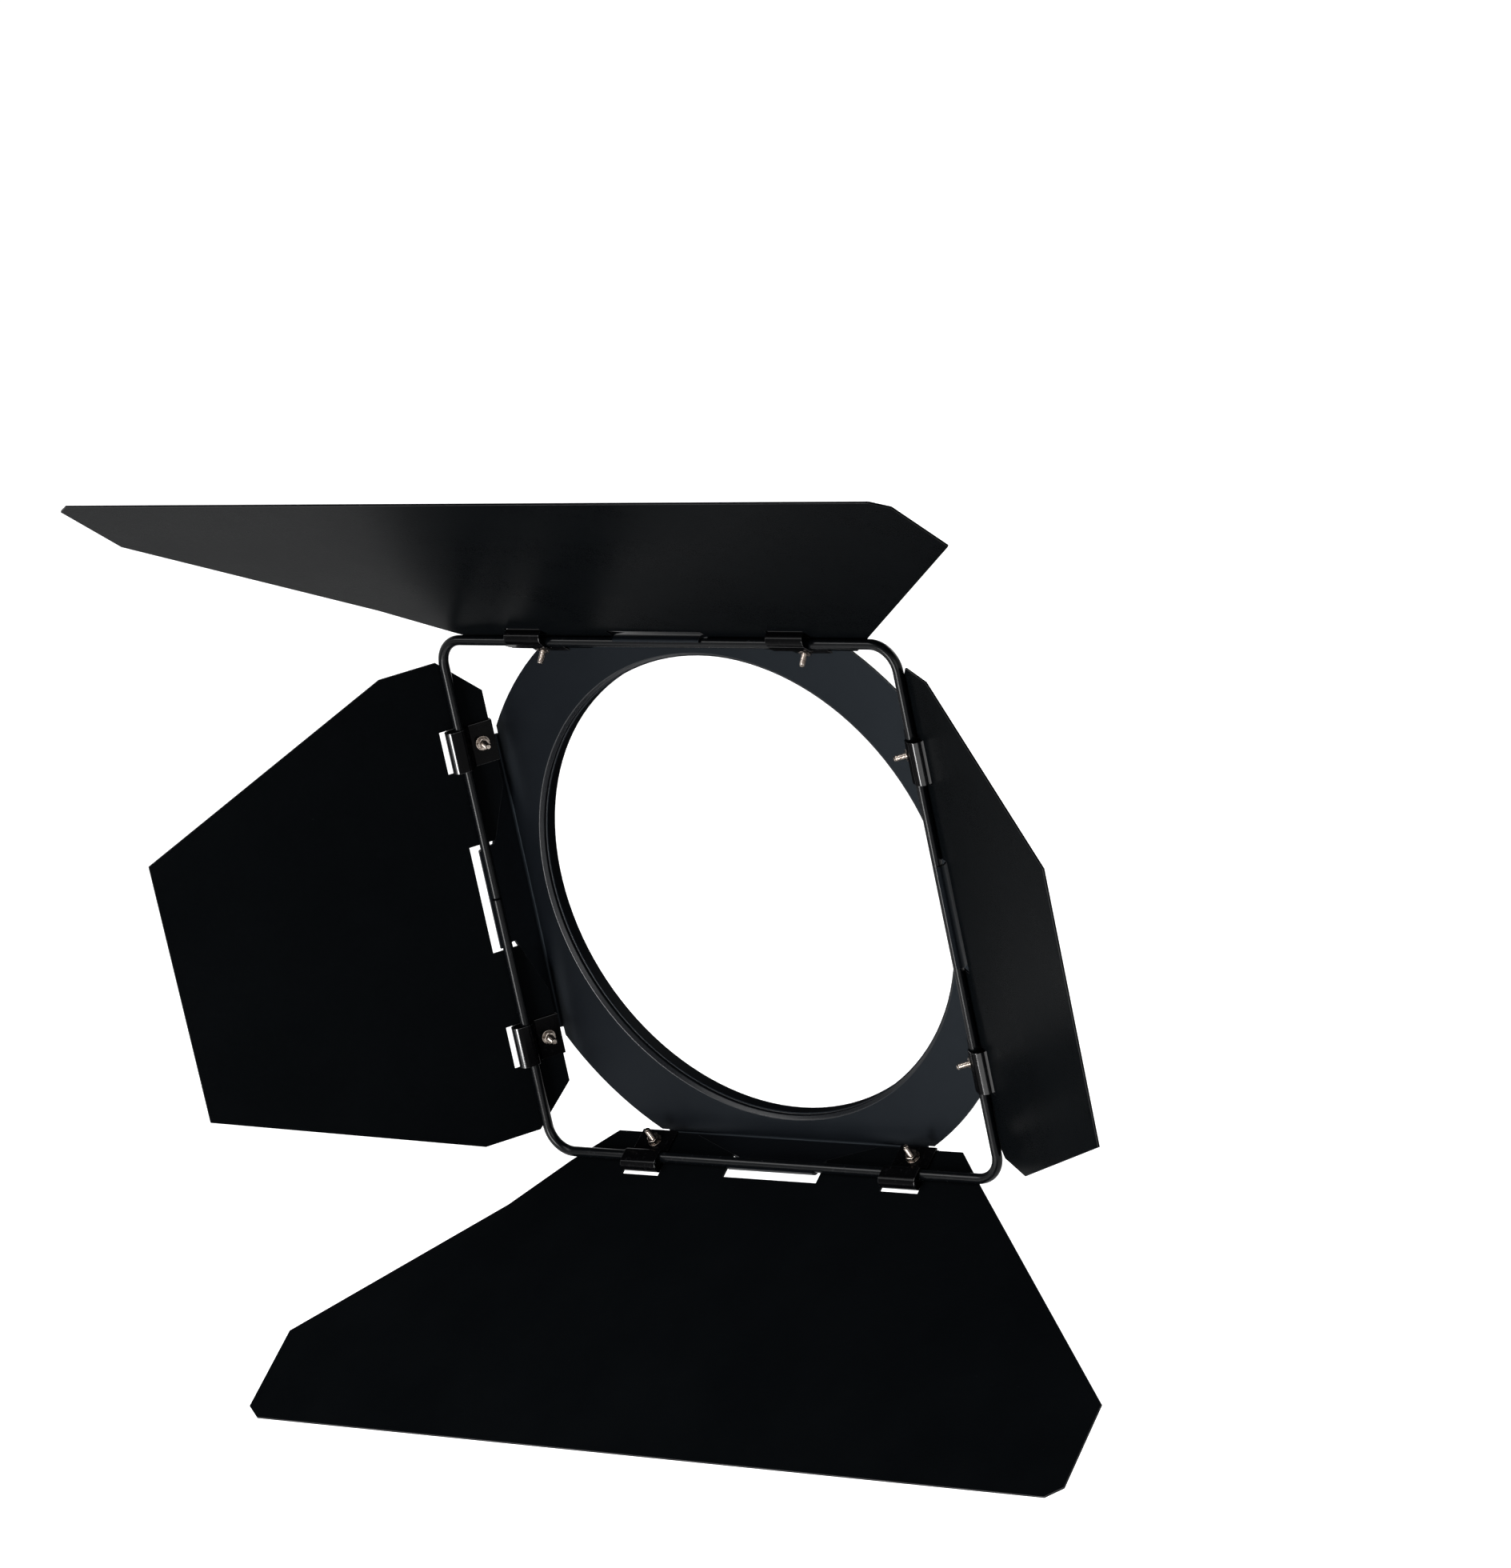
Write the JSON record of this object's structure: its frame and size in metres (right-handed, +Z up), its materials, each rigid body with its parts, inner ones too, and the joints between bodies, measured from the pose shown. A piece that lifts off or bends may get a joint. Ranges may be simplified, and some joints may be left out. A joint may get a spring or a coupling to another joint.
{
  "type": "barn door attachment",
  "caption": "Barn door attachment for a stage lantern: apertured sheet-metal mounting plate with a square rod frame, and large and small hinged leaves held by friction clips.",
  "frame": {"origin": "centre of the aperture, in the plane of the mounting plate's rear face, where the plate sits in the lantern's runners", "axes": "the beam runs along -Y, the lantern is on the +Y side, +Z up, +X to the right as seen from the front"},
  "size_m": [0.4973, 0.1762, 0.4582],
  "materials": {
    "leaf_coat": "matte black powder coat with a fine texture",
    "plate_coat": "satin black powder coat with a fine texture",
    "rod_finish": "semi-gloss black",
    "clip_finish": "gloss black",
    "hardware": "bright nickel plate"
  },
  "bodies": {
    "carrier": {"mounting_plate": "plate_coat", "wire_frame": "rod_finish"},
    "top_door": {"top_clip_left": "clip_finish", "top_clip_right": "clip_finish", "top_leaf": "leaf_coat", "top_nuts": "hardware", "top_screws": "hardware", "top_washers": "hardware"},
    "right_door": {"right_clip_lower": "clip_finish", "right_clip_upper": "clip_finish", "right_leaf": "leaf_coat", "right_nuts": "hardware", "right_screws": "hardware", "right_washers": "hardware"},
    "bottom_door": {"bottom_clip_left": "clip_finish", "bottom_clip_right": "clip_finish", "bottom_leaf": "leaf_coat", "bottom_nuts": "hardware", "bottom_screws": "hardware", "bottom_washers": "hardware"},
    "left_door": {"left_clip_lower": "clip_finish", "left_clip_upper": "clip_finish", "left_leaf": "leaf_coat", "left_nuts": "hardware", "left_screws": "hardware", "left_washers": "hardware"}
  },
  "joints": [
    {"name": "top_hinge", "type": "hinge", "parent": "carrier", "child": "top_door", "pos_m": [0, -0.0234, 0.13175], "axis": [-1, 0, 0], "range_deg": [-65.5, 59.5]},
    {"name": "right_hinge", "type": "hinge", "parent": "carrier", "child": "right_door", "pos_m": [0.13175, -0.0234, 0], "axis": [0, 0, 1], "range_deg": [-129, 48]},
    {"name": "bottom_hinge", "type": "hinge", "parent": "carrier", "child": "bottom_door", "pos_m": [0, -0.0234, -0.13175], "axis": [1, 0, 0], "range_deg": [-54, 71]},
    {"name": "left_hinge", "type": "hinge", "parent": "carrier", "child": "left_door", "pos_m": [-0.13175, -0.0234, 0], "axis": [0, 0, -1], "range_deg": [-119, 66]}
  ]
}
